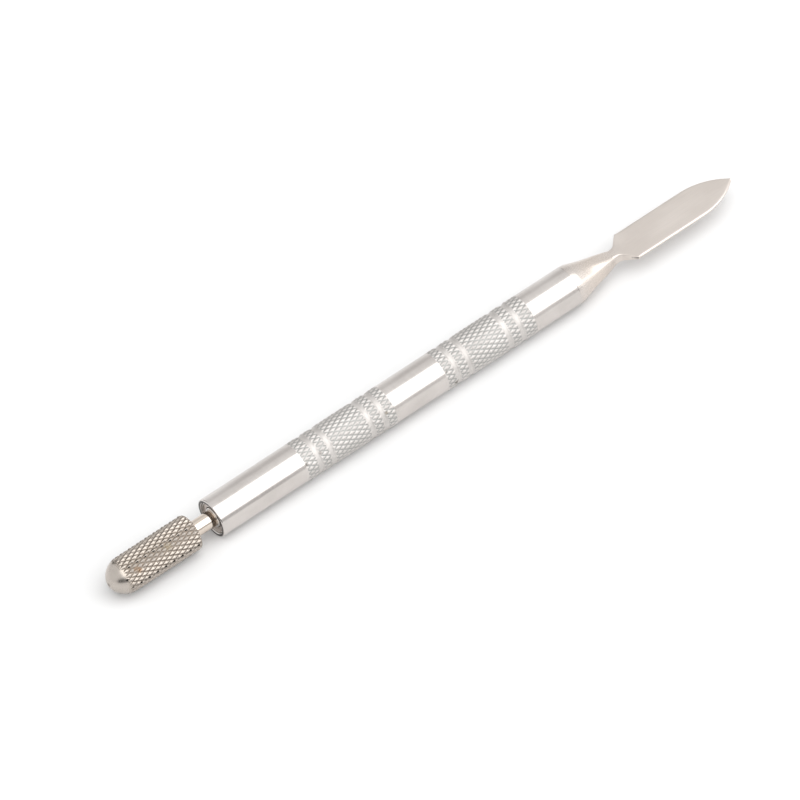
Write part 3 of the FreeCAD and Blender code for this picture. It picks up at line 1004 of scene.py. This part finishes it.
def file_steel():
    """Warm grey metal with painted shade in its grooves, rusty marks and a dark pip at the tip of the
    nose.
    """
    return metal(
        "file_steel",
        dark=(0.50, 0.455, 0.41),
        light=(0.56, 0.51, 0.465),
        roughness=(0.26, 0.31),
        grain=(1.0, 1.0, 1.0),
        relief=0.0006,
        # painted shade at the bottom of the knurl's teeth
        groove=((0.17, 0.14, 0.115), 0.4),
        worked=((0.92, 0.905, 0.885), 0.14, 0.22),
        stains_and_painted_shade=(
            (point_on(HEAD_R, -17.2, 44), 0.0007, (0.33, 0.215, 0.13), 0.5),
            (point_on(HEAD_R, -16.8, 52), 0.0007, (0.31, 0.195, 0.115), 0.7),
            (point_on(HEAD_R, -10.3, 39), 0.001, (0.40, 0.33, 0.22), 0.4),
            ((MOUTH_X + HEAD_TIP * MM, 0.0, AXIS_Z), 0.0005, (0.12, 0.09, 0.07), 0.8),
        ),
    )


# for each plain metal: dark and light tint, roughness, grain and relief, as metal() takes them
PLAIN_METALS = {
    "shank_steel": ((0.66, 0.575, 0.495), (0.71, 0.625, 0.545), (0.07, 0.12), (6.0, 0.3, 0.3), 0.0004),
    "bearing_steel": ((0.60, 0.57, 0.54), (0.66, 0.63, 0.60), (0.16, 0.24), (5.0, 1.0, 1.0), 0.0005),
    "shield_steel": ((0.50, 0.435, 0.395), (0.62, 0.555, 0.515), (0.25, 0.4), (4.0, 4.0, 4.0), 0.001),
    "ball_steel": ((0.72, 0.72, 0.72), (0.78, 0.78, 0.78), (0.03, 0.06), (3.0, 3.0, 3.0), 0.0001),
    "cage_brass": ((0.72, 0.52, 0.24), (0.80, 0.60, 0.30), (0.22, 0.34), (4.0, 4.0, 4.0), 0.001),
    "spring_steel": ((0.34, 0.33, 0.32), (0.44, 0.43, 0.42), (0.28, 0.4), (4.0, 4.0, 4.0), 0.001),
}


def dress():
    """Makes every piece and material."""
    polished, satin, coarse = handle_steel(), blade_steel(), file_steel()
    plain = {name: metal(name, *looks) for name, looks in PLAIN_METALS.items()}
    bearing, shield = plain["bearing_steel"], plain["shield_steel"]
    finish_piece(handle(), polished, "handle", "handle_body")
    finish_piece(blade(), satin, "handle", "pusher_blade")
    finish_piece(file_burr(), coarse, "rotor", "file_head")
    finish_piece(spindle_rod(), plain["shank_steel"], "rotor", "spindle")
    finish_piece(outer_ring(), bearing, "handle", "front_bearing_outer_ring")
    finish_piece(inner_ring(), bearing, "rotor", "front_bearing_inner_ring")
    finish_piece(mouth_shield(), shield, "handle", "front_bearing_mouth_shield")
    for end in ("front", "rear"):
        finish_node(end + "_bearing_balls", plain["ball_steel"])
        finish_node(end + "_bearing_cage", plain["cage_brass"])
        finish_node(end + "_bearing_back_shield", shield)
    finish_node("rear_bearing_mouth_shield", shield)
    for node in ("rear_bearing_outer_ring", "rear_bearing_inner_ring", "outer_spacer", "inner_spacer"):
        finish_node(node, bearing)
    for node in ("thrust_washer", "retaining_clip"):
        finish_node(node, plain["spring_steel"])


# ---- floor, light and camera ----


def flat(name, corners, material):
    """A single face of one material, which is part of the setting and not of the tool."""
    mesh = bpy.data.meshes.new(name)
    mesh.from_pydata(corners, [], [(0, 1, 2, 3)])
    made = new_object(name, mesh)
    mesh.materials.append(material)
    return made


def floor():
    """A wide pale matt floor, just under the tool."""
    h, z = FLOOR_HALF, -FLOOR_DROP
    material, principled = shader("floor_paint", 0.0, FLOOR_ROUGHNESS)
    principled.inputs["Base Color"].default_value = (FLOOR_GREY, FLOOR_GREY, FLOOR_GREY, 1.0)
    principled.inputs["Specular IOR Level"].default_value = FLOOR_SPECULAR
    made = flat("floor", [(-h, -h, z), (h, -h, z), (h, h, z), (-h, h, z)], material)


def grey_card():
    """A grey card on the -Y side, level with the handle's blade end, seen only in the metal."""
    material, principled = shader("card_paint", 0.0, 1.0)
    principled.inputs["Base Color"].default_value = (0.0, 0.0, 0.0, 1.0)
    principled.inputs["Specular IOR Level"].default_value = 0.0
    principled.inputs["Emission Color"].default_value = (1.0, 1.0, 1.0, 1.0)
    principled.inputs["Emission Strength"].default_value = CARD_GLOW
    low = [(CARD_LEFT, CARD_Y, 0.0), (CARD_RIGHT, CARD_Y, 0.0)]
    high = [(CARD_RIGHT, CARD_Y, CARD_TOP), (CARD_LEFT, CARD_Y, CARD_TOP)]
    made = flat("grey_card", low + high, material)
    made.visible_camera = False
    made.visible_diffuse = False
    made.visible_shadow = False


def soft_box():
    """The key light, a soft box above the tool that faces it and leans to -Y."""
    data = bpy.data.lights.new("key", "AREA")
    data.shape = "RECTANGLE"
    data.size, data.size_y = KEY_SIZE
    data.energy = KEY_POWER
    made = bpy.data.objects.new("key", data)
    along, lean = KEY_PLACE
    angle = math.radians(lean)
    towards = Vector((0.0, -math.sin(angle), math.cos(angle)))
    made.location = towards * KEY_DISTANCE + Vector((along, 0.0, 0.0))
    made.rotation_euler = (angle, 0.0, 0.0)
    made.visible_camera = False
    bpy.context.scene.collection.objects.link(made)


# brightness by the angle round the tool in degrees from the zenith, positive towards -Y: all round the
# tool, then the ramps that take over for directions towards one end of it or the other
SKY = (
    (-180, 1.08),
    (-92, 1.08),
    (-84, 1.02),
    (-76, 0.92),
    (-60, 0.78),
    (-50, 0.81),
    (-40, 0.96),
    (-24, 1.0),
    (0, 1.1),
    (66, 1.1),
    (72, 0.98),
    (79, 0.88),
    (88, 0.9),
    (94, 1.0),
    (180, 1.08),
)
LOW_DARK_SKY = (
    (-180, 0.7),
    (-108, 0.5),
    (-100, 0.1),
    (-62, 0.1),
    (-52, 0.6),
    (-30, 0.95),
    (50, 0.95),
    (58, 0.5),
    (66, 0.06),
    (98, 0.06),
    (106, 0.6),
    (180, 0.8),
)
END_SKY = (
    (-180, 0.9),
    (-90, 0.95),
    (-40, 1.0),
    (44, 1.0),
    (56, 0.3),
    (60, 0.0),
    (108, 0.0),
    (116, 0.7),
    (180, 0.9),
)
RIDGE_SKY = (
    (-180, 1.08),
    (-76, 0.98),
    (-40, 0.98),
    (-24, 1.0),
    (40, 1.1),
    (50, 1.35),
    (58, 1.9),
    (76, 1.9),
    (84, 1.25),
    (94, 1.02),
    (180, 1.08),
)
TIP_SKY = ((-180, 0.95), (180, 0.95))
# (where it starts to take over, where it has, the ramp), by the X part of the direction
SKY_CHANGES = (
    (0.22, 0.1, LOW_DARK_SKY),
    (-0.05, -0.16, END_SKY),
    (-0.9, -0.96, TIP_SKY),
    (0.55, 0.68, RIDGE_SKY),
)


def brightness_ramp(tree, share, stops_by_angle):
    """A grey ramp over the full turn."""
    ramp = tree.nodes.new("ShaderNodeValToRGB")
    tree.links.new(share, ramp.inputs["Fac"])
    stops = ramp.color_ramp.elements
    while len(stops) > 1:
        stops.remove(stops[-1])
    for i, (degrees, value) in enumerate(stops_by_angle):
        position = (degrees + 180) / 360
        stop = stops[0] if i == 0 else stops.new(position)
        stop.position = position
        stop.color = (value, value, value, 1.0)
    return ramp.outputs["Color"]


def sky():
    """Soft studio surroundings: darker low down towards the file head, brighter towards the blade."""
    world = bpy.data.worlds.new("studio")
    bpy.context.scene.world = world
    world.use_nodes = True
    tree = world.node_tree
    place = tree.nodes.new("ShaderNodeTexCoord")
    split = tree.nodes.new("ShaderNodeSeparateXYZ")
    tree.links.new(place.outputs["Generated"], split.inputs[0])
    back = tree.nodes.new("ShaderNodeMath")
    back.operation = "MULTIPLY"
    back.inputs[1].default_value = -1.0
    tree.links.new(split.outputs["Y"], back.inputs[0])
    angle = tree.nodes.new("ShaderNodeMath")
    angle.operation = "ARCTAN2"
    tree.links.new(back.outputs[0], angle.inputs[0])
    tree.links.new(split.outputs["Z"], angle.inputs[1])
    share = ranged(tree, angle.outputs[0], -math.pi, math.pi, 0.0, 1.0)
    seen = brightness_ramp(tree, share, SKY)
    for start, end, stops in SKY_CHANGES:
        beyond = ranged(tree, split.outputs["X"], start, end, 0.0, 1.0)
        seen = mixed(tree, beyond, seen, brightness_ramp(tree, share, stops))
    tree.links.new(seen, tree.nodes["Background"].inputs["Color"])


def camera():
    """A parallel view, turned as the tool is rolled round its own axis."""
    data = bpy.data.cameras.new("camera")
    data.type = "ORTHO"
    data.ortho_scale = CAMERA_WIDTH
    data.clip_start, data.clip_end = CAMERA_CLIP
    made = bpy.data.objects.new("camera", data)
    bpy.context.scene.collection.objects.link(made)
    turn = Matrix.Rotation(math.radians(TOOL_ROLL), 3, "X")
    turn = turn @ Matrix.Rotation(math.radians(CAMERA_AZIMUTH), 3, "Z")
    turn = turn @ Matrix.Rotation(math.radians(90 - CAMERA_ELEVATION), 3, "X")
    made.rotation_euler = turn.to_euler()
    made.location = Vector(CAMERA_AIM) + turn @ Vector((0.0, 0.0, CAMERA_DISTANCE))
    bpy.context.scene.camera = made
    bpy.context.scene.view_settings.view_transform = "Standard"


dress()
floor()
grey_card()
soft_box()
sky()
camera()
bpy.context.view_layer.update()
